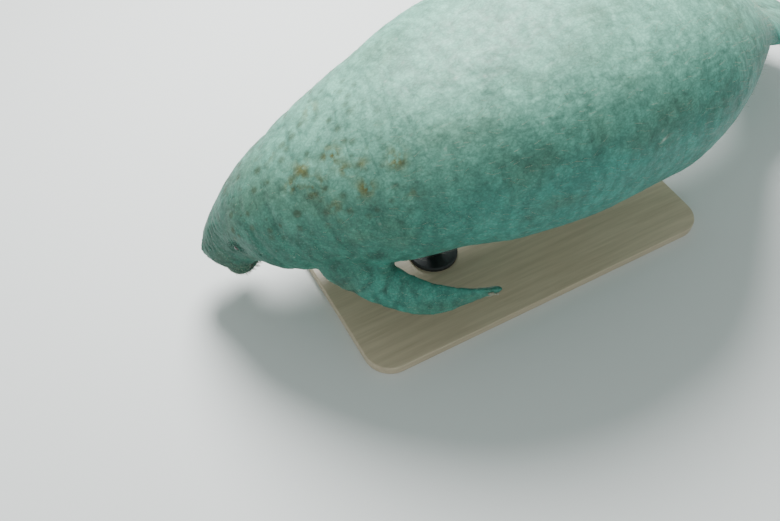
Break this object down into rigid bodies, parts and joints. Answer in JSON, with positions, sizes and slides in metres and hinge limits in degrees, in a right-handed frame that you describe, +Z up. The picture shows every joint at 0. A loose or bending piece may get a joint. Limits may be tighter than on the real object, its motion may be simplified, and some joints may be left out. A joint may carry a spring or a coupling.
{
  "type": "manatee",
  "caption": "Life-size manatee, head lowered to graze, back arched and tail drooping, held over a flat base by short rods under its belly.",
  "frame": {"origin": "on the floor, at the centre of the display base's underside", "axes": "+Z up; +X from the head towards the tail fluke, along the base's length; the animal's left flank faces -Y"},
  "size_m": [2.7067, 1.0391, 1.0251],
  "materials": {
    "skin": "damp, wrinkled slate-grey hide",
    "eye": "glossy dark brown",
    "nail_horn": "dull horn",
    "stand_steel": "satin charcoal paint",
    "base_board": "satin pale lacquer"
  },
  "bodies": {
    "root": {"head": "skin", "lower_jaw": "skin", "eye_left": "eye", "eye_right": "eye", "neck": "skin", "chest": "skin", "belly": "skin", "loin": "skin", "tail_stock": "skin", "tail_fluke": "skin", "flipper_left_arm": "skin", "flipper_left_hand": "skin", "nail_left_1": "nail_horn", "nail_left_2": "nail_horn", "nail_left_3": "nail_horn", "flipper_right_arm": "skin", "flipper_right_hand": "skin", "nail_right_1": "nail_horn", "nail_right_2": "nail_horn", "nail_right_3": "nail_horn", "stand_base": "base_board", "stand_saddle_front": "stand_steel", "stand_rod_front": "stand_steel", "stand_saddle_rear": "stand_steel", "stand_rod_rear": "stand_steel"}
  },
  "joints": []
}
